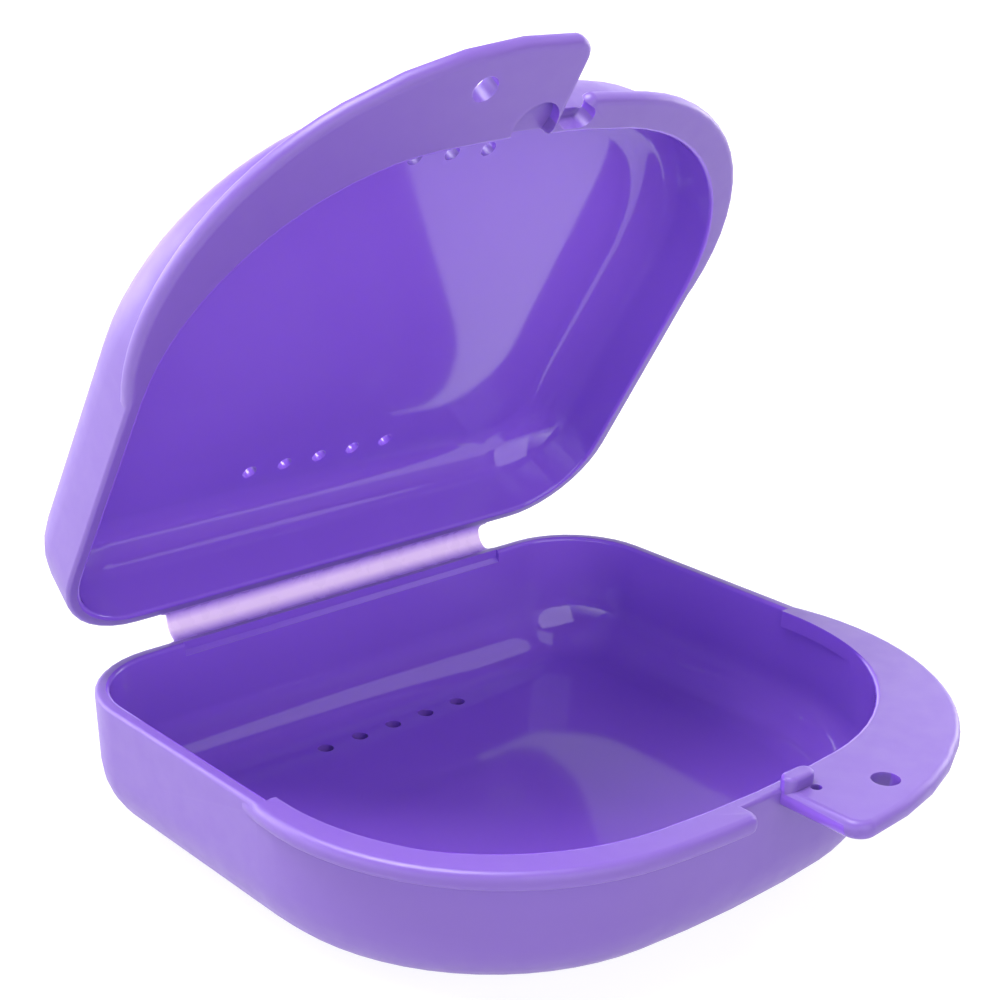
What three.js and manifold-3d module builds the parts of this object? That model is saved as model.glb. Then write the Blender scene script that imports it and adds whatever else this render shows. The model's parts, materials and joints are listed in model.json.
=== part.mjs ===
// Retainer case, moulded in one piece: a base tray, a lid and the thin web that joins them.
// Millimetres, +Z up. The origin is the centre of the underside, X runs along the hinge,
// +Y points to the hinge and the lid stands open as in use.

import * as THREE from 'three';
import { mergeVertices } from 'three/addons/utils/BufferGeometryUtils.js';
import Module from 'manifold-3d';

const wasm = await Module();
wasm.setup();

const { degToRad } = THREE.MathUtils;

// Plan of the case
const caseWidth = 78;
const caseDepth = 67.5;
const backCornerRadius = 11.2;
const frontCornerRadius = 29.3;
const frontBowRadius = 120;

// Shells
const wallThickness = 1.6;
const rimEdgeRadius = 0.45;
const baseHeight = 15.8;
const baseHeelRadius = 8.2;
const baseDraft = degToRad(2.5);
const lidHeight = 11.3;
const lidHeelRadius = 6.8;
const lidDraft = degToRad(4.8);

// Half lips and ledges around the front
const flangeThickness = 2;
const flangeEdgeRadius = 0.8;
const lipReach = 9.9;
const lipPeakSide = 3.8;
const lipSideReach = 1.25;
const lipCornerRadius = 30.5;
const lipBowExtra = 1.75;
const lipSplit = 2;
const lipTipRadius = 2.2;
const ledgeReach = 2.3;
const ledgeSideReach = 0.5;
const ledgeCornerRadius = 28.3;
const ledgeTipRadius = 1.3;
const baseLedgeEnd = 3.1;
const lidLedgeEnd = 4.9;

// The lip's bow is a little wider than half the case, so that it always reaches the side
const lipBowRadius = caseWidth / 2 + lipSideReach + lipBowExtra;

// Crescent that thickens the inside of the base rim where the flanges start
const beadReach = 0.8;
const beadShift = 2.2;
const beadDrop = 1.3;
const beadHalfAngle = degToRad(40);

// Round hole through each lip, placed from the centre line and from the lip's front
const lipHoleRadius = 1.5;
const baseLipHoleSide = 11.7;
const lidLipHoleSide = 10.4;
const lipHoleSetback = 4.85;

// Vents through the floor and the lid panel
const ventRadius = 0.95;
const ventPitch = 5;
const backVentCount = 5;
const frontVentCount = 3;
const backVentSetback = 9.6;
const frontVentSetback = 11.7;

// Catch: a nub at the root of the base lip, its notch in the lid's rim, and beside that a round
// relief sunk in the rim and open to the inside
const nubLength = 3.9;
const nubWidth = 2;
const nubHeight = 1.35;
const nubEdgeRadius = 0.4;
const nubSide = 4.05;
const nubSetback = 0.2;
const catchClearance = 0.3;
const notchDepth = 2.2;
const reliefRadius = 2.9;
const reliefSide = 1.5;
const reliefInset = 0.2;
const reliefDepth = 1.2;
const dimpleRadius = 0.6;
const dimpleDepth = 0.6;

// Hinge
const openAngle = degToRad(58.5);
const rimGap = 0.3;
const hingeReach = 2.8;
const webLength = 48.8;
const webThickness = 0.45;
const webDrop = 0.55;
const webSeatGap = 0.3;
const webSwing = 1.45;
const webEndRadius = 1;
const recessLength = 47;
const recessDepth = 0.5;
const recessHeight = 1.5;

// Steps of the round stretches, and the length that cuts run past a face
const backCornerSteps = 10;
const frontCornerSteps = 16;
const bowSteps = 4;
const heelSteps = 7;
const edgeSteps = 3;
const tipSteps = 8;
const holeSteps = 24;
const webSteps = 14;
const overrun = 1;

// Plans share their sides and back, and differ in how far and how round their front is
function makePlan(reach, peakX, sideReach, cornerRadius, bowRadius) {
  const front = caseDepth / 2 + reach;
  const cornerX = caseWidth / 2 + sideReach - cornerRadius;
  const bowY = bowRadius - front;
  const between = bowRadius - cornerRadius;
  const across = cornerX - peakX;
  return {
    front,
    peakX,
    sideReach,
    cornerRadius,
    bowRadius,
    cornerX,
    bowY,
    cornerY: bowY - Math.sqrt(between ** 2 - across ** 2),
    bowAngle: Math.asin(across / between),
  };
}

const bodyPlan = makePlan(0, 0, 0, frontCornerRadius, frontBowRadius);
const ledgePlan = makePlan(ledgeReach, 0, ledgeSideReach, ledgeCornerRadius, frontBowRadius);
const lipPlan = makePlan(lipReach, lipPeakSide, lipSideReach, lipCornerRadius, lipBowRadius);

function arcPoints(x, y, radius, from, to, steps) {
  return new THREE.EllipseCurve(x, y, radius, radius, from, to, to < from).getPoints(steps);
}

// Closed plan outline, counter-clockwise from the right side, drawn in by the inset
function bodyOutline(inset) {
  const plan = bodyPlan;
  const backX = caseWidth / 2 - backCornerRadius;
  const backY = caseDepth / 2 - backCornerRadius;
  const backRadius = backCornerRadius - inset;
  const frontRadius = plan.cornerRadius - inset;
  const down = 1.5 * Math.PI;
  const left = down - plan.bowAngle;
  const right = down + plan.bowAngle;
  const bow = arcPoints(0, plan.bowY, plan.bowRadius - inset, left, right, bowSteps);
  return [
    ...arcPoints(backX, backY, backRadius, 0, Math.PI / 2, backCornerSteps),
    ...arcPoints(-backX, backY, backRadius, Math.PI / 2, Math.PI, backCornerSteps),
    ...arcPoints(-plan.cornerX, plan.cornerY, frontRadius, Math.PI, left, frontCornerSteps),
    ...bow.slice(1, -1),
    ...arcPoints(plan.cornerX, plan.cornerY, frontRadius, right, 2 * Math.PI, frontCornerSteps),
  ];
}

// Closed solid through rings of equally many points, with a flat cap on each end
function loft(rings) {
  const count = rings[0].length;
  const positions = rings.flat().flatMap((point) => point.toArray());
  const index = [];
  for (let ring = 0; ring + 1 < rings.length; ring += 1) {
    for (let side = 0; side < count; side += 1) {
      const next = (side + 1) % count;
      const a = ring * count + side;
      const b = ring * count + next;
      index.push(a, b, b + count, a, b + count, a + count);
    }
  }
  const capEnd = (ring, flip) => {
    const centre = new THREE.Vector3();
    rings[ring].forEach((point) => centre.addScaledVector(point, 1 / count));
    const hub = positions.length / 3;
    positions.push(...centre.toArray());
    for (let side = 0; side < count; side += 1) {
      const a = ring * count + side;
      const b = ring * count + ((side + 1) % count);
      index.push(hub, ...(flip ? [b, a] : [a, b]));
    }
  };
  capEnd(0, true);
  capEnd(rings.length - 1, false);
  const geometry = new THREE.BufferGeometry();
  geometry.setAttribute('position', new THREE.Float32BufferAttribute(positions, 3));
  geometry.setIndex(index);
  return geometry;
}

// A plan outline, drawn in by an inset, carried up a profile of [inset, height] pairs
function loftPlan(outline, profile) {
  const ring = ([inset, height]) =>
    outline(inset).map((point) => new THREE.Vector3(point.x, point.y, height));
  return loft(profile.map(ring));
}

function solid(geometry) {
  geometry.deleteAttribute('normal');
  geometry.deleteAttribute('uv');
  const merged = mergeVertices(geometry);
  const mesh = new wasm.Mesh({
    numProp: 3,
    vertProperties: new Float32Array(merged.attributes.position.array),
    triVerts: new Uint32Array(merged.index.array),
  });
  return new wasm.Manifold(mesh);
}

function toGeometry(manifold) {
  const { vertProperties, triVerts } = manifold.getMesh();
  const geometry = new THREE.BufferGeometry();
  geometry.setAttribute('position', new THREE.Float32BufferAttribute(vertProperties, 3));
  geometry.setIndex(new THREE.Uint32BufferAttribute(triVerts, 1));
  const flat = geometry.toNonIndexed();
  flat.computeVertexNormals();
  return flat;
}

// Upright round pin from one height to another
function pin(radius, x, y, low, high) {
  const geometry = new THREE.CylinderGeometry(radius, radius, high - low, holeSteps);
  geometry.rotateX(Math.PI / 2);
  geometry.translate(x, y, (low + high) / 2);
  return solid(geometry);
}

// Flat shape raised from one height to another
function slab(shape, low, high) {
  const geometry = new THREE.ExtrudeGeometry(shape, { depth: high - low, bevelEnabled: false });
  geometry.translate(0, 0, low);
  return solid(geometry);
}

// Quarter turn of points round a centre, both as [inset, height]
function quarter(inset, height, radius, from, to, steps) {
  return arcPoints(inset, height, radius, from, to, steps).map((point) => [point.x, point.y]);
}

// Round bottom edge that runs tangent into the drafted wall
function heel(floor, radius, draft, wallAt) {
  const tangentHeight = floor + radius * (1 - Math.sin(draft));
  const centreInset = wallAt(tangentHeight) + radius * Math.cos(draft);
  const down = 1.5 * Math.PI;
  return quarter(centreInset, floor + radius, radius, down, Math.PI + draft, heelSteps);
}

// Outside of a shell that stands on its panel with its rim up
function shellBody(shell) {
  const wallAt = (height) => (shell.height - height) * Math.tan(shell.draft);
  const edgeStart = shell.height - rimEdgeRadius;
  const edgeInset = wallAt(edgeStart) + rimEdgeRadius;
  return solid(loftPlan(bodyOutline, [
    ...heel(0, shell.heelRadius, shell.draft, wallAt),
    ...quarter(edgeInset, edgeStart, rimEdgeRadius, Math.PI, Math.PI / 2, edgeSteps),
  ]));
}

// Hollow of the same shell, opening out over the rounded inner rim edge
function shellCavity(shell) {
  const wallAt = (height) => wallThickness + (shell.height - height) * Math.tan(shell.draft);
  const edgeStart = shell.height - rimEdgeRadius;
  const edgeInset = wallAt(edgeStart) - rimEdgeRadius;
  const innerRadius = shell.heelRadius - wallThickness;
  return solid(loftPlan(bodyOutline, [
    ...heel(wallThickness, innerRadius, shell.draft, wallAt),
    ...quarter(edgeInset, edgeStart, rimEdgeRadius, 0, Math.PI / 2, edgeSteps),
    [edgeInset, shell.height + overrun],
  ]));
}

// Outline of a flange on the right: down its end, round the tip and along the front to the side
function flangeOutline(plan, endX, tipRadius, inset) {
  const tipX = endX + tipRadius;
  const across = tipX - plan.peakX;
  const between = plan.bowRadius - tipRadius;
  const tipY = plan.bowY - Math.sqrt(between ** 2 - across ** 2);
  const down = 1.5 * Math.PI;
  const tipEnd = down + Math.asin(across / between);
  const bowEnd = down + plan.bowAngle;
  const radius = plan.cornerRadius - inset;
  const sideEnd = 2 * Math.PI + Math.acos((radius - plan.sideReach) / radius);
  const bow = arcPoints(plan.peakX, plan.bowY, plan.bowRadius - inset, tipEnd, bowEnd, bowSteps);
  return [
    new THREE.Vector2(endX + inset, bodyPlan.cornerY),
    ...arcPoints(tipX, tipY, tipRadius - inset, Math.PI, tipEnd, tipSteps),
    ...bow.slice(1, -1),
    ...arcPoints(plan.cornerX, plan.cornerY, radius, bowEnd, sideEnd, frontCornerSteps),
  ];
}

function mirrored(points) {
  return points.map((point) => new THREE.Vector2(-point.x, point.y)).reverse();
}

// Flange plate under the rim plane, with a rounded edge all round
function flangePlate(outline, shell) {
  const low = shell.height - flangeThickness;
  const radius = flangeEdgeRadius;
  const down = 1.5 * Math.PI;
  return solid(loftPlan(outline, [
    ...quarter(radius, low + radius, radius, down, Math.PI, edgeSteps),
    ...quarter(radius, shell.height - radius, radius, Math.PI, Math.PI / 2, edgeSteps),
  ]));
}

function flanges(shell) {
  const lip = (inset) => flangeOutline(lipPlan, shell.lipEdge, lipTipRadius, inset);
  const ledge = (inset) => mirrored(flangeOutline(ledgePlan, shell.ledgeEnd, ledgeTipRadius, inset));
  return flangePlate(lip, shell).add(flangePlate(ledge, shell));
}

// Crescent between the wall and an arc round a centre that lies further in and forward
function rimBead(side) {
  const { cornerX, cornerY } = bodyPlan;
  const innerX = caseWidth / 2 - wallThickness - beadReach;
  const beadX = cornerX - beadShift;
  const radius = Math.hypot(innerX - beadX, beadDrop);
  const start = Math.asin(beadDrop / radius);
  const inner = arcPoints(beadX, cornerY - beadDrop, radius, start, -beadHalfAngle, frontCornerSteps);
  const end = inner[inner.length - 1];
  const wallAngle = Math.atan2(end.y - cornerY, end.x - cornerX);
  const wallRadius = Math.hypot(end.x - cornerX, end.y - cornerY);
  const outer = arcPoints(cornerX, cornerY, wallRadius, wallAngle, 0, frontCornerSteps);
  const points = [...inner, ...outer].map((point) => new THREE.Vector2(side * point.x, point.y));
  const low = baseHeight - flangeThickness;
  return slab(new THREE.Shape(points), low, baseHeight);
}

function ventRow(count, y) {
  const first = -(count - 1) / 2;
  const pins = [];
  for (let step = 0; step < count; step += 1) {
    pins.push(pin(ventRadius, (first + step) * ventPitch, y, -overrun, wallThickness + overrun));
  }
  return pins;
}

function vents() {
  const back = ventRow(backVentCount, caseDepth / 2 - backVentSetback);
  const front = ventRow(frontVentCount, -caseDepth / 2 + frontVentSetback);
  return [...back, ...front];
}

function lipHole(shell) {
  const y = -(lipPlan.front - lipHoleSetback);
  const low = shell.height - flangeThickness - overrun;
  return pin(lipHoleRadius, shell.lipHoleSide, y, low, shell.height + overrun);
}

// Thinner stretch of the base's back rim, inside, along which the web grows
function hingeRecess() {
  const face = caseDepth / 2 - wallThickness;
  const inside = face - overrun;
  const low = baseHeight - recessHeight;
  const high = baseHeight + overrun;
  const profile = new THREE.Shape([
    new THREE.Vector2(inside, low),
    new THREE.Vector2(face, low),
    new THREE.Vector2(face + recessDepth, low + recessDepth),
    new THREE.Vector2(face + recessDepth, high),
    new THREE.Vector2(inside, high),
  ]);
  const geometry = new THREE.ExtrudeGeometry(profile, { depth: recessLength, bevelEnabled: false });
  geometry.rotateX(Math.PI / 2);
  geometry.rotateZ(Math.PI / 2);
  geometry.translate(-recessLength / 2, 0, 0);
  return solid(geometry);
}

// One half of the case, standing on its panel with its lip to the right
function halfCase(shell) {
  let half = shellBody(shell).add(flanges(shell)).subtract(shellCavity(shell));
  half = half.subtract(lipHole(shell));
  vents().forEach((vent) => {
    half = half.subtract(vent);
  });
  return half;
}

const nubY = -(caseDepth / 2 + nubSetback);

// Bar with round ends, rounded over its edges too, lying along X
function roundedBar(length, width, height, edgeRadius) {
  const radius = width / 2 - edgeRadius;
  const reach = (length - width) / 2;
  const shape = new THREE.Shape();
  shape.absarc(reach, 0, radius, -Math.PI / 2, Math.PI / 2);
  shape.absarc(-reach, 0, radius, Math.PI / 2, 1.5 * Math.PI);
  const geometry = new THREE.ExtrudeGeometry(shape, {
    depth: height - 2 * edgeRadius,
    curveSegments: holeSteps / 2,
    bevelThickness: edgeRadius,
    bevelSize: edgeRadius,
    bevelSegments: edgeSteps,
  });
  geometry.translate(0, 0, edgeRadius);
  return geometry;
}

function catchNub() {
  const root = flangeEdgeRadius;
  const geometry = roundedBar(nubLength, nubWidth, root + nubHeight, nubEdgeRadius);
  geometry.translate(nubSide, nubY, baseHeight - root);
  return solid(geometry);
}

// The nub's outline with clearance, open towards the base
function catchNotch() {
  const room = 2 * catchClearance;
  const height = notchDepth + 2 * overrun;
  const geometry = roundedBar(nubLength + room, nubWidth + room, height, nubEdgeRadius);
  geometry.translate(-nubSide, nubY, lidHeight - notchDepth);
  return solid(geometry);
}

function baseTray() {
  const shell = {
    height: baseHeight,
    heelRadius: baseHeelRadius,
    draft: baseDraft,
    lipEdge: lipSplit,
    lipHoleSide: baseLipHoleSide,
    ledgeEnd: baseLedgeEnd,
  };
  const dimpleX = nubSide + nubWidth / 2;
  const dimpleY = nubY - nubWidth / 2 - dimpleRadius;
  const dimple = pin(dimpleRadius, dimpleX, dimpleY, baseHeight - dimpleDepth, baseHeight + overrun);
  const tray = halfCase(shell).add(rimBead(1)).add(rimBead(-1));
  return tray.subtract(hingeRecess()).add(catchNub()).subtract(dimple);
}

// The lid is the same half turned over, so its sides are counted the other way
function lidShell() {
  const shell = {
    height: lidHeight,
    heelRadius: lidHeelRadius,
    draft: lidDraft,
    lipEdge: -lipSplit,
    lipHoleSide: lidLipHoleSide,
    ledgeEnd: lidLedgeEnd,
  };
  const reliefY = -(caseDepth / 2 - reliefInset);
  const relief = pin(reliefRadius, reliefSide, reliefY, lidHeight - reliefDepth, lidHeight + overrun);
  const half = halfCase(shell).subtract(catchNotch()).subtract(relief);
  const geometry = toGeometry(half);
  geometry.translate(0, 0, -lidHeight);
  geometry.rotateY(Math.PI);
  return geometry;
}

// Hinge line behind the back walls, halfway between the closed rims
const hingeY = caseDepth / 2 + hingeReach;
const hingeZ = baseHeight + rimGap / 2;

// A point of the closed lid, turned open about the hinge line
function opened(y, z) {
  const turned = new THREE.Vector2(y - hingeY, z - hingeZ);
  turned.rotateAround(new THREE.Vector2(), -openAngle);
  return new THREE.Vector2(turned.x + hingeY, turned.y + hingeZ);
}

// Path of the web across the gap, square to both back walls
function webPath() {
  const y = caseDepth / 2 + webSeatGap;
  const lidZ = baseHeight + rimGap + webDrop;
  return new THREE.CubicBezierCurve(
    new THREE.Vector2(y, baseHeight - webDrop),
    new THREE.Vector2(y + webSwing, baseHeight - webDrop),
    opened(y + webSwing, lidZ),
    opened(y, lidZ),
  );
}

// The web widens to its full length with a small round at each end of the path
function webHalfLength(distance) {
  const rise = Math.max(webEndRadius - distance, 0);
  const round = webEndRadius - Math.sqrt(webEndRadius ** 2 - rise ** 2);
  return webLength / 2 - webEndRadius + round;
}

function hingeWeb() {
  const path = webPath();
  const span = path.getLength();
  const rings = [];
  for (let step = 0; step <= webSteps; step += 1) {
    const share = step / webSteps;
    const at = path.getPointAt(share);
    const along = path.getTangentAt(share);
    const half = webHalfLength(Math.min(share, 1 - share) * span);
    const offset = new THREE.Vector2(-along.y, along.x).multiplyScalar(webThickness / 2);
    const corner = (x, sign) =>
      new THREE.Vector3(x, at.x + sign * offset.x, at.y + sign * offset.y);
    rings.push([corner(half, 1), corner(half, -1), corner(-half, -1), corner(-half, 1)]);
  }
  return toGeometry(solid(loft(rings)));
}

// Glossy coloured plastic, lighter where the web is thin
function shellPlastic() {
  return new THREE.MeshStandardMaterial({ color: 0x7d5fd0, roughness: 0.22, metalness: 0 });
}

function webPlastic() {
  return new THREE.MeshStandardMaterial({ color: 0xb9a2ea, roughness: 0.3, metalness: 0 });
}

function namedMesh(name, geometry, material) {
  const mesh = new THREE.Mesh(geometry, material);
  mesh.name = name;
  return mesh;
}

function buildCase() {
  const retainerCase = new THREE.Group();
  retainerCase.add(namedMesh('base_tray', toGeometry(baseTray()), shellPlastic()));
  retainerCase.add(namedMesh('hinge_web', hingeWeb(), webPlastic()));

  const lidPivot = new THREE.Group();
  lidPivot.position.set(0, hingeY, hingeZ);
  lidPivot.rotation.x = -openAngle;
  const lid = namedMesh('lid', lidShell(), shellPlastic());
  lid.position.set(0, -hingeY, rimGap / 2);
  lidPivot.add(lid);
  retainerCase.add(lidPivot);
  return retainerCase;
}

export default buildCase();
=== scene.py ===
"""Looks of the retainer case: violet shells, a flexing web, a floor, lights and a camera."""

import json
import math

import bpy
from mathutils import Matrix, Vector
from mathutils.geometry import interpolate_bezier


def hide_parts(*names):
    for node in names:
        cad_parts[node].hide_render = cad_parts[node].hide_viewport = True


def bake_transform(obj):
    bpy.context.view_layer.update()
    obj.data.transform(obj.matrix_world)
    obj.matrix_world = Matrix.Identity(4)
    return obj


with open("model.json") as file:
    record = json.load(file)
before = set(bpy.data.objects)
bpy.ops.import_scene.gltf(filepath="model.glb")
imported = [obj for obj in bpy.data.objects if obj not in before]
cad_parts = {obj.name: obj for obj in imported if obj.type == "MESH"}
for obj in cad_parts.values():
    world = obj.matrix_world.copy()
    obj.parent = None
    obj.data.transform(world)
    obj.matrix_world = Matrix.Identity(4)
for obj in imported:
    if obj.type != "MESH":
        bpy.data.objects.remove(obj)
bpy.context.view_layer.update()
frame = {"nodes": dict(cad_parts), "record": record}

MM = 0.001

# Hinge line and opening of the lid, as packed
HINGE = frame["record"]["behaviour"]["joints"][0]
HINGE_POINT = Vector(HINGE["pos_m"])
OPEN_ANGLE = math.radians(-HINGE["range_deg"][0])

# The case, repeated from the part's source
CASE_DEPTH = 67.5 * MM
BASE_HEIGHT = 15.8 * MM
RIM_GAP = 0.3 * MM
WEB_LENGTH = 48.8 * MM
WEB_DROP = 0.55 * MM
WEB_SWING = 1.45 * MM
WEB_SEAT_GAP = 0.3 * MM
WEB_END_RADIUS = 1.0 * MM

# Hearts of the two hollows, from the rim plane, and how softly the finish and the painted
# light colour change at the rim
BASE_HEART_DEPTH = 7 * MM
LID_HEART_DEPTH = 5 * MM
MASK_SOFTNESS = 1.2 * MM

# The web's own shape: thin in the middle, thicker where it grows out of the two walls
WEB_MIDDLE = 0.36 * MM
WEB_ROOT = 0.8 * MM
WEB_ROOT_REACH = 0.9 * MM
WEB_BURIED = 0.3 * MM
WEB_STATIONS = 40
WEB_EDGE_STEPS = 8
WEB_LENGTH_STEPS = 24

# Camera, solved from the photograph about the middle of the base's back rim edge
PICTURE_WIDTH = 1000
FOCAL_PIXELS = 1952.6
CAMERA_AZIMUTH = math.radians(-41.786)
CAMERA_ELEVATION = math.radians(19.393)
CAMERA_ROLL = math.radians(1.138)
CAMERA_DISTANCE = 235.56 * MM
AIM_PIXEL = (343.8, 590.4)
AIM_POINT = Vector((0, CASE_DEPTH / 2, BASE_HEIGHT))
SENSOR_WIDTH = 36
NEAREST_SIGHT = 10 * MM

# Studio: low walls of light round a floor that glows but for the place where the base stands,
# which stays dark as painted shade under the base
WALL_LIGHT = {"left": 4, "right": 1, "back": 4}
WALL_FOCUS = 2.0
WALL_HEIGHT = 0.5
FLOOR_SIZE = 6.0
FLOOR_DROP = 0.02 * MM
FLOOR_GLOW = 0.88
FLOOR_COLOUR = (0.2, 0.2, 0.2, 1)
FLOOR_ROUGHNESS = 0.6
SHADE_REACH = (27 * MM, 26 * MM)
SHADE_EDGE = (0.9, 1.0)

# Soft boxes: azimuth from the front and elevation in degrees, side in metres, power in watts
BOX_DISTANCE = 1.5
BOX_AIM = Vector((0, 0, 40 * MM))
SOFT_BOXES = {
    "front": (-8, 20, 1.7, 20),
    "right_low": (90, 12, 0.6, 8),
    "right": (60, 50, 0.9, 3),
    "back_right": (110, 25, 0.9, 4.5),
    "back": (140, 28, 0.9, 1),
    "back_left": (-150, 25, 0.9, 13),
    "top": (-135, 72, 0.9, 37),
}

# Moulded plastic, in linear colour: satin outside, polished inside; the inside colour is a
# lighter, more saturated copy of the same plastic, painted light for the light that bounces
# about in the hollow
OUTSIDE_COLOUR = (0.160, 0.084, 0.39, 1)
INSIDE_PAINTED_LIGHT_COLOUR = (0.218, 0.096, 0.58, 1)
OUTSIDE_ROUGHNESS = (0.38, 0.46)
INSIDE_ROUGHNESS = (0.07, 0.10)
CLOUD_CHANGE = 0.03
PLASTIC_IOR = 1.52
SCATTER_SHARE = 0.3
SCATTER_RADIUS = (1.0, 0.8, 1.6)
SCATTER_DEPTH = 1.2 * MM
FLOW_MARK_STRENGTH = 0.06
FLOW_MARK_HEIGHT = 0.1 * MM

# The web along its bend: violet at both walls, paler in the middle where it is thin, a
# painted light for the light that shines through the thin web
WEB_PAINTED_LIGHT_COLOURS = (
    (0.12, (0.42, 0.27, 0.72, 1)),
    (0.44, (0.80, 0.68, 0.87, 1)),
    (0.60, (0.80, 0.68, 0.87, 1)),
    (0.90, (0.42, 0.27, 0.72, 1)),
)
WEB_THROUGH_SHARE = 0.45
WEB_ROUGHNESS = (0.22, 0.34)
WEB_SCATTER_RADIUS = (1.0, 0.9, 1.4)
WEB_SCATTER_DEPTH = 0.8 * MM

# Scales of the noise, per metre, and its layers
NOISE_DETAIL = 2.0
CLOUD_SCALE = 60
FLOW_MARK_SCALE = 90
FLOW_MARK_DETAIL = 1.0
GRAIN_SCALE = 400
WEB_GRAIN_SCALE = 500

# The part of a noise's range that it really takes
NOISE_RANGE = (0.3, 0.7)

# Edges that turn further than this stay crisp
CREASE_ANGLE = math.radians(42)
WELD_DISTANCE = 0.002 * MM


def set_camera():
    """Puts the camera where the photograph was taken from."""
    flat = math.cos(CAMERA_ELEVATION)
    back = Vector(
        (
            math.sin(CAMERA_AZIMUTH) * flat,
            -math.cos(CAMERA_AZIMUTH) * flat,
            math.sin(CAMERA_ELEVATION),
        )
    )
    right = Vector((0, 0, 1)).cross(back).normalized()
    up = back.cross(right)
    turned_right = math.cos(CAMERA_ROLL) * right + math.sin(CAMERA_ROLL) * up
    turned_up = math.cos(CAMERA_ROLL) * up - math.sin(CAMERA_ROLL) * right
    middle = PICTURE_WIDTH / 2
    across = (AIM_PIXEL[0] - middle) / FOCAL_PIXELS * CAMERA_DISTANCE
    down = (AIM_PIXEL[1] - middle) / FOCAL_PIXELS * CAMERA_DISTANCE
    place = AIM_POINT - across * turned_right + down * turned_up + CAMERA_DISTANCE * back
    data = bpy.data.cameras.new("photo_camera")
    data.sensor_width = SENSOR_WIDTH
    data.lens = SENSOR_WIDTH * FOCAL_PIXELS / PICTURE_WIDTH
    data.clip_start = NEAREST_SIGHT
    camera = bpy.data.objects.new("photo_camera", data)
    bpy.context.scene.collection.objects.link(camera)
    turn = Matrix((turned_right, turned_up, back)).transposed()
    camera.matrix_world = Matrix.Translation(place) @ turn.to_4x4()
    bpy.context.scene.camera = camera


def add(tree, kind, **values):
    """A shader node with its input sockets and settings given by name."""
    node = tree.nodes.new(kind)
    for name, value in values.items():
        socket = node.inputs.get(name.replace("_", " "))
        if socket is not None:
            socket.default_value = value
        else:
            setattr(node, name, value)
    return node


def new_material(name):
    """A material with an empty tree but for its output."""
    material = bpy.data.materials.new(name)
    material.use_nodes = True
    tree = material.node_tree
    tree.nodes.clear()
    return material, tree, tree.nodes.new("ShaderNodeOutputMaterial")


def noise(tree, scale, detail=NOISE_DETAIL):
    """Noise over the piece's own coordinates, in metres."""
    place = tree.nodes.new("ShaderNodeTexCoord")
    texture = add(tree, "ShaderNodeTexNoise", Scale=scale, Detail=detail)
    tree.links.new(place.outputs["Object"], texture.inputs["Vector"])
    return texture.outputs["Fac"]


def mixer(tree, kind):
    """The share, both ends and the result of a node that mixes numbers or colours."""
    node = tree.nodes.new("ShaderNodeMix")
    node.data_type = kind
    ending = {"FLOAT": "_Float", "RGBA": "_Color"}[kind]
    first, second = [socket for socket in node.inputs if socket.identifier[1:] == ending]
    result = [socket for socket in node.outputs if socket.identifier == "Result" + ending][0]
    return node.inputs[0], first, second, result


def blended(tree, kind, share, low, high):
    """A number or colour that goes from low to high as a share goes from 0 to 1."""
    factor, first, second, result = mixer(tree, kind)
    tree.links.new(share, factor)
    tree.links.new(low, first)
    tree.links.new(high, second)
    return result


def cloudy(tree, clouds, colour):
    """A colour that is a little darker or lighter from place to place."""
    factor, first, second, result = mixer(tree, "RGBA")
    tree.links.new(clouds, factor)
    first.default_value = [part * (1 - CLOUD_CHANGE) for part in colour[:3]] + [1]
    second.default_value = [part * (1 + CLOUD_CHANGE) for part in colour[:3]] + [1]
    return result


def spread(tree, source, low, high):
    """A number that goes from low to high over a noise."""
    node = tree.nodes.new("ShaderNodeMapRange")
    node.inputs["From Min"].default_value = NOISE_RANGE[0]
    node.inputs["From Max"].default_value = NOISE_RANGE[1]
    node.inputs["To Min"].default_value = low
    node.inputs["To Max"].default_value = high
    tree.links.new(source, node.inputs["Value"])
    return node.outputs["Result"]


def inside_mask(tree, heart):
    """1 on faces that look towards the heart of the hollow, 0 on the others, soft between."""
    place = tree.nodes.new("ShaderNodeTexCoord")
    to_heart = tree.nodes.new("ShaderNodeVectorMath")
    to_heart.operation = "SUBTRACT"
    to_heart.inputs[0].default_value = heart
    tree.links.new(place.outputs["Object"], to_heart.inputs[1])
    facing = tree.nodes.new("ShaderNodeVectorMath")
    facing.operation = "DOT_PRODUCT"
    tree.links.new(place.outputs["Normal"], facing.inputs[0])
    tree.links.new(to_heart.outputs["Vector"], facing.inputs[1])
    node = tree.nodes.new("ShaderNodeMapRange")
    node.inputs["From Min"].default_value = -MASK_SOFTNESS
    node.inputs["From Max"].default_value = MASK_SOFTNESS
    tree.links.new(facing.outputs["Value"], node.inputs["Value"])
    return node.outputs["Result"]


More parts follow.
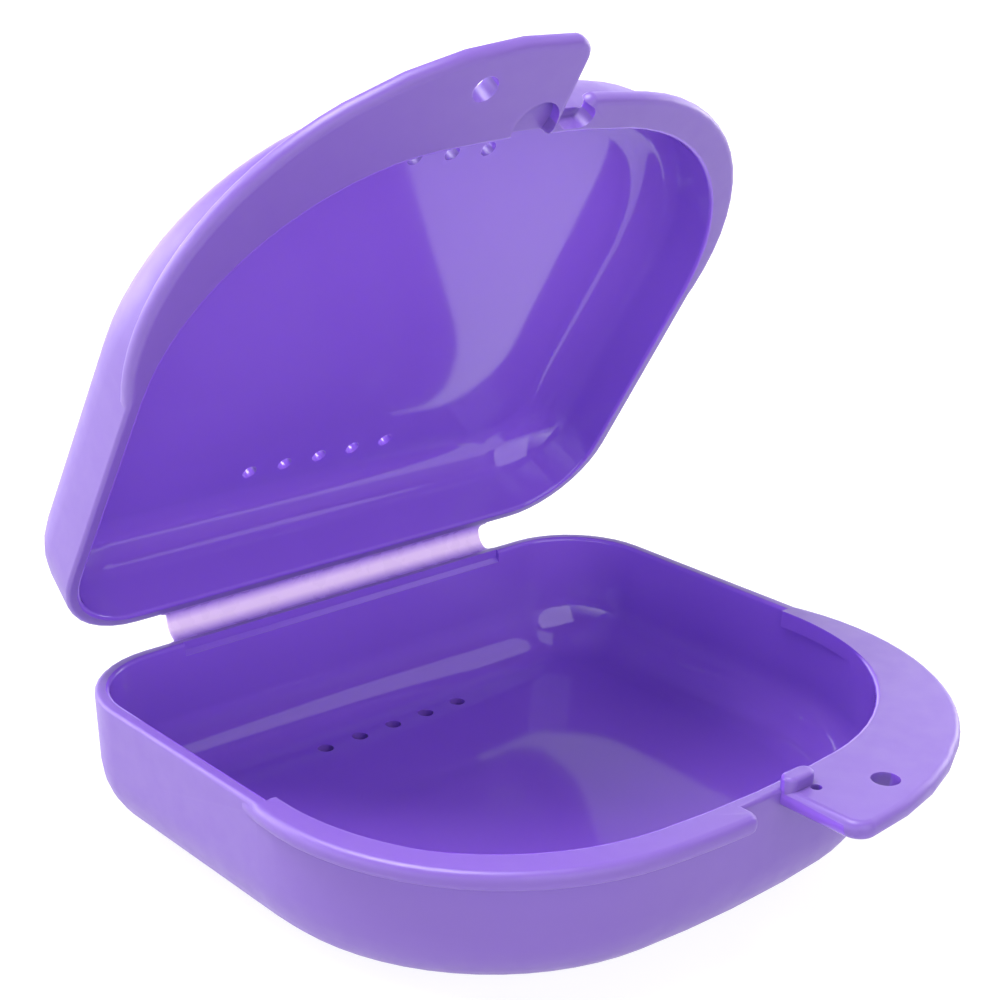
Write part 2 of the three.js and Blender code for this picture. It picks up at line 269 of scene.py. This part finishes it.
def shell_plastic(name, heart):
    """Moulded polypropylene that light enters a little: polished inside, satin outside, with
    a lighter, more saturated copy of the colour painted inside for the light in the hollow.
    """
    material, tree, output = new_material(name)
    plastic = add(tree, "ShaderNodeBsdfPrincipled", IOR=PLASTIC_IOR)
    plastic.inputs["Subsurface Weight"].default_value = SCATTER_SHARE
    plastic.inputs["Subsurface Radius"].default_value = SCATTER_RADIUS
    plastic.inputs["Subsurface Scale"].default_value = SCATTER_DEPTH
    inside = inside_mask(tree, heart)
    clouds = noise(tree, CLOUD_SCALE)
    outer = cloudy(tree, clouds, OUTSIDE_COLOUR)
    # painted light: faces inside the hollow take a lighter, more saturated copy of the colour
    inner_painted_light = cloudy(tree, clouds, INSIDE_PAINTED_LIGHT_COLOUR)
    colour = blended(tree, "RGBA", inside, outer, inner_painted_light)
    tree.links.new(colour, plastic.inputs["Base Color"])
    grain = noise(tree, GRAIN_SCALE)
    satin = spread(tree, grain, *OUTSIDE_ROUGHNESS)
    polished = spread(tree, grain, *INSIDE_ROUGHNESS)
    finish = blended(tree, "FLOAT", inside, satin, polished)
    tree.links.new(finish, plastic.inputs["Roughness"])
    bump = add(tree, "ShaderNodeBump", Strength=FLOW_MARK_STRENGTH, Distance=FLOW_MARK_HEIGHT)
    tree.links.new(noise(tree, FLOW_MARK_SCALE, FLOW_MARK_DETAIL), bump.inputs["Height"])
    tree.links.new(bump.outputs["Normal"], plastic.inputs["Normal"])
    tree.links.new(plastic.outputs["BSDF"], output.inputs["Surface"])
    return material


def web_plastic():
    """The same plastic where it is thin, so that light comes through, with the light through
    the middle of the bend also painted as a paler colour.
    """
    material, tree, output = new_material("thin_violet_plastic")
    plastic = add(tree, "ShaderNodeBsdfPrincipled", IOR=PLASTIC_IOR)
    plastic.inputs["Subsurface Weight"].default_value = SCATTER_SHARE
    plastic.inputs["Subsurface Radius"].default_value = WEB_SCATTER_RADIUS
    plastic.inputs["Subsurface Scale"].default_value = WEB_SCATTER_DEPTH
    along = add(tree, "ShaderNodeAttribute", attribute_name="along")
    # painted light: the ramp makes the middle of the web paler where light shines through it
    painted_light_ramp = tree.nodes.new("ShaderNodeValToRGB")
    stops = painted_light_ramp.color_ramp.elements
    while len(stops) < len(WEB_PAINTED_LIGHT_COLOURS):
        stops.new(1.0)
    for stop, (place, colour) in zip(stops, WEB_PAINTED_LIGHT_COLOURS):
        stop.position = place
        stop.color = colour
    tree.links.new(along.outputs["Fac"], painted_light_ramp.inputs["Fac"])
    tree.links.new(painted_light_ramp.outputs["Color"], plastic.inputs["Base Color"])
    rough = spread(tree, noise(tree, WEB_GRAIN_SCALE), *WEB_ROUGHNESS)
    tree.links.new(rough, plastic.inputs["Roughness"])
    thin = tree.nodes.new("ShaderNodeBsdfTranslucent")
    tree.links.new(painted_light_ramp.outputs["Color"], thin.inputs["Color"])
    mix = add(tree, "ShaderNodeMixShader", Fac=WEB_THROUGH_SHARE)
    tree.links.new(plastic.outputs["BSDF"], mix.inputs[1])
    tree.links.new(thin.outputs["BSDF"], mix.inputs[2])
    tree.links.new(mix.outputs["Shader"], output.inputs["Surface"])
    return material


def opened(y, z):
    """A point of the closed lid, turned open about the hinge line."""
    closed = Vector((0, y, z)) - HINGE_POINT
    return HINGE_POINT + Matrix.Rotation(-OPEN_ANGLE, 3, "X") @ closed


def web_line():
    """Points along the web, from inside the base's wall to inside the lid's."""
    face = CASE_DEPTH / 2
    start = face + WEB_SEAT_GAP
    swing = start + WEB_SWING
    base_z = BASE_HEIGHT - WEB_DROP
    lid_z = BASE_HEIGHT + RIM_GAP + WEB_DROP
    bend = interpolate_bezier(
        Vector((0, start, base_z)),
        Vector((0, swing, base_z)),
        opened(swing, lid_z),
        opened(start, lid_z),
        WEB_STATIONS,
    )
    buried = face - WEB_BURIED
    points = [Vector((0, buried, base_z)), Vector((0, face, base_z))]
    points += bend
    points += [opened(face, lid_z), opened(buried, lid_z)]
    return points


def web_ring(place, across, half_length, half_thickness):
    """Outline of the web at one station: a flat bar with round ends."""
    flat = half_length - half_thickness
    ring = []
    for side in (1, -1):
        for step in range(WEB_EDGE_STEPS + 1):
            turn = math.pi * (step / WEB_EDGE_STEPS - 0.5)
            out = side * (flat + half_thickness * math.cos(turn))
            up = side * half_thickness * math.sin(turn)
            ring.append(place + up * across + Vector((out, 0, 0)))
        for step in range(1, WEB_LENGTH_STEPS):
            out = side * flat * (1 - 2 * step / WEB_LENGTH_STEPS)
            ring.append(place + side * half_thickness * across + Vector((out, 0, 0)))
    return ring


def build_web():
    """The living hinge as one bent sheet that runs into both walls."""
    points = web_line()
    lengths = [0.0]
    for one, two in zip(points, points[1:]):
        lengths.append(lengths[-1] + (two - one).length)
    corners = []
    share = []
    for index, place in enumerate(points):
        before = points[max(index - 1, 0)]
        after = points[min(index + 1, len(points) - 1)]
        along = (after - before).normalized()
        across = Vector((1, 0, 0)).cross(along)
        root = min(lengths[index], lengths[-1] - lengths[index]) - WEB_BURIED
        near = max(1 - max(root, 0) / WEB_ROOT_REACH, 0) ** 2
        thickness = WEB_MIDDLE + (WEB_ROOT - WEB_MIDDLE) * near
        rise = max(WEB_END_RADIUS - max(root - WEB_SEAT_GAP, 0), 0)
        fillet = WEB_END_RADIUS - math.sqrt(WEB_END_RADIUS**2 - rise**2)
        half_length = WEB_LENGTH / 2 - WEB_END_RADIUS + fillet
        ring = web_ring(place, across, half_length, thickness / 2)
        corners += ring
        share += [lengths[index] / lengths[-1]] * len(ring)
    size = len(ring)
    last = len(corners) - size
    faces = [tuple(range(size)), tuple(reversed(range(last, len(corners))))]
    for start in range(0, last, size):
        for step in range(size):
            one = start + step
            two = start + (step + 1) % size
            faces.append((one, one + size, two + size, two))
    mesh = bpy.data.meshes.new("web_sheet")
    mesh.from_pydata(corners, [], faces)
    mesh.shade_smooth()
    mesh.attributes.new("along", "FLOAT", "POINT").data.foreach_set("value", share)
    sheet = bpy.data.objects.new("web_sheet", mesh)
    bpy.context.scene.collection.objects.link(sheet)
    return sheet


def smoothing():
    """Modifier tree that joins the facets and shades them as a round surface."""
    tree = bpy.data.node_groups.new("round_surface", "GeometryNodeTree")
    tree.interface.new_socket("Geometry", in_out="INPUT", socket_type="NodeSocketGeometry")
    tree.interface.new_socket("Geometry", in_out="OUTPUT", socket_type="NodeSocketGeometry")
    start = tree.nodes.new("NodeGroupInput")
    end = tree.nodes.new("NodeGroupOutput")
    drop = tree.nodes.new("GeometryNodeRemoveAttribute")
    drop.inputs["Name"].default_value = "custom_normal"
    weld = tree.nodes.new("GeometryNodeMergeByDistance")
    weld.inputs["Distance"].default_value = WELD_DISTANCE
    faces = tree.nodes.new("GeometryNodeSetShadeSmooth")
    edges = tree.nodes.new("GeometryNodeSetShadeSmooth")
    edges.domain = "EDGE"
    angle = tree.nodes.new("GeometryNodeInputMeshEdgeAngle")
    round_edge = tree.nodes.new("FunctionNodeCompare")
    round_edge.data_type = "FLOAT"
    round_edge.operation = "LESS_THAN"
    round_edge.inputs[1].default_value = CREASE_ANGLE
    tree.links.new(start.outputs[0], drop.inputs["Geometry"])
    tree.links.new(drop.outputs["Geometry"], weld.inputs["Geometry"])
    tree.links.new(weld.outputs["Geometry"], faces.inputs["Geometry"])
    tree.links.new(faces.outputs["Geometry"], edges.inputs["Geometry"])
    tree.links.new(angle.outputs["Unsigned Angle"], round_edge.inputs[0])
    tree.links.new(round_edge.outputs["Result"], edges.inputs["Shade Smooth"])
    tree.links.new(edges.outputs["Geometry"], end.inputs[0])
    return tree


def dress_shell(node, material, rounding):
    """Gives a CAD shell its plastic and its round shading."""
    node.data.materials.clear()
    node.data.materials.append(material)
    node.modifiers.new("round_surface", "NODES").node_group = rounding
    even = node.modifiers.new("even_normals", "WEIGHTED_NORMAL")
    even.keep_sharp = True


def add_soft_box(name, azimuth, elevation, side, power):
    """A square light that faces the case from a direction."""
    data = bpy.data.lights.new(name, "AREA")
    data.shape = "SQUARE"
    data.size = side
    data.energy = power
    light = bpy.data.objects.new(name, data)
    bpy.context.scene.collection.objects.link(light)
    turn = math.radians(azimuth)
    rise = math.radians(elevation)
    flat = math.cos(rise)
    out = Vector((math.sin(turn) * flat, -math.cos(turn) * flat, math.sin(rise)))
    facing = out.to_track_quat("Z", "Y").to_matrix().to_4x4()
    light.matrix_world = Matrix.Translation(BOX_AIM + BOX_DISTANCE * out) @ facing


def calculate(tree, operation, first, second):
    """A sum of the shader, each side a socket or a number."""
    node = tree.nodes.new("ShaderNodeMath")
    node.operation = operation
    for socket, value in zip(node.inputs, (first, second)):
        if isinstance(value, (int, float)):
            socket.default_value = value
        else:
            tree.links.new(value, socket)
    return node.outputs[0]


def wall_light(tree, reach, strength):
    """Light of one wall, strongest straight towards it."""
    facing = calculate(tree, "MAXIMUM", reach, 0.0)
    lobe = calculate(tree, "POWER", facing, WALL_FOCUS)
    return calculate(tree, "MULTIPLY", lobe, strength)


def set_room():
    """The room as the world's light."""
    world = bpy.data.worlds.new("white_room")
    world.use_nodes = True
    tree = world.node_tree
    direction = add(tree, "ShaderNodeTexCoord")
    parts = add(tree, "ShaderNodeSeparateXYZ")
    tree.links.new(direction.outputs["Generated"], parts.inputs["Vector"])
    x, y, z = parts.outputs
    left = wall_light(tree, calculate(tree, "MULTIPLY", x, -1.0), WALL_LIGHT["left"])
    right = wall_light(tree, x, WALL_LIGHT["right"])
    back = wall_light(tree, y, WALL_LIGHT["back"])
    total = calculate(tree, "ADD", calculate(tree, "ADD", left, right), back)
    fade = add(tree, "ShaderNodeMapRange")
    fade.inputs["From Max"].default_value = WALL_HEIGHT
    fade.inputs["To Min"].default_value = 1.0
    fade.inputs["To Max"].default_value = 0.0
    tree.links.new(z, fade.inputs["Value"])
    low = calculate(tree, "MULTIPLY", total, fade.outputs["Result"])
    sky = tree.nodes["Background"]
    sky.inputs["Color"].default_value = (1, 1, 1, 1)
    tree.links.new(low, sky.inputs["Strength"])
    bpy.context.scene.world = world


def floor_paint():
    """Pale floor that glows, but not under the base, where the dark patch is painted shade.
    """
    material, tree, output = new_material("pale_floor")
    paint = add(tree, "ShaderNodeBsdfPrincipled", Roughness=FLOOR_ROUGHNESS)
    paint.inputs["Base Color"].default_value = FLOOR_COLOUR
    paint.inputs["Emission Color"].default_value = (1, 1, 1, 1)
    place = tree.nodes.new("ShaderNodeTexCoord")
    reach = tree.nodes.new("ShaderNodeVectorMath")
    reach.operation = "DIVIDE"
    reach.inputs[1].default_value = (*SHADE_REACH, 1)
    tree.links.new(place.outputs["Object"], reach.inputs[0])
    square = tree.nodes.new("ShaderNodeVectorMath")
    square.operation = "MULTIPLY"
    tree.links.new(reach.outputs["Vector"], square.inputs[0])
    tree.links.new(reach.outputs["Vector"], square.inputs[1])
    away = tree.nodes.new("ShaderNodeVectorMath")
    away.operation = "LENGTH"
    tree.links.new(square.outputs["Vector"], away.inputs[0])
    # painted shade: the floor does not glow within the shade reach under the base
    glow = tree.nodes.new("ShaderNodeMapRange")
    glow.inputs["From Min"].default_value = SHADE_EDGE[0]
    glow.inputs["From Max"].default_value = SHADE_EDGE[1]
    glow.inputs["To Max"].default_value = FLOOR_GLOW
    tree.links.new(away.outputs["Value"], glow.inputs["Value"])
    tree.links.new(glow.outputs["Result"], paint.inputs["Emission Strength"])
    tree.links.new(paint.outputs["BSDF"], output.inputs["Surface"])
    return material


def set_stage():
    """Pale floor and soft boxes in the room."""
    scene = bpy.context.scene
    scene.view_settings.view_transform = "Standard"
    set_room()
    half = FLOOR_SIZE / 2
    mesh = bpy.data.meshes.new("floor")
    corners = [(-half, -half, 0), (half, -half, 0), (half, half, 0), (-half, half, 0)]
    mesh.from_pydata(corners, [], [(0, 1, 2, 3)])
    floor = bpy.data.objects.new("floor", mesh)
    scene.collection.objects.link(floor)
    floor.location.z = -FLOOR_DROP
    mesh.materials.append(floor_paint())
    for name, (azimuth, elevation, side, power) in SOFT_BOXES.items():
        add_soft_box(name + "_box", azimuth, elevation, side, power)


set_camera()
rounding = smoothing()
closed_lid_heart = BASE_HEIGHT + RIM_GAP + LID_HEART_DEPTH
for shell, heart in (
    ("base_tray", Vector((0, 0, BASE_HEIGHT - BASE_HEART_DEPTH))),
    ("lid", opened(0, closed_lid_heart)),
):
    dress_shell(frame["nodes"][shell], shell_plastic(shell + "_plastic", heart), rounding)
web = build_web()
web.data.materials.append(web_plastic())
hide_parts("hinge_web")
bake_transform(web)
set_stage()
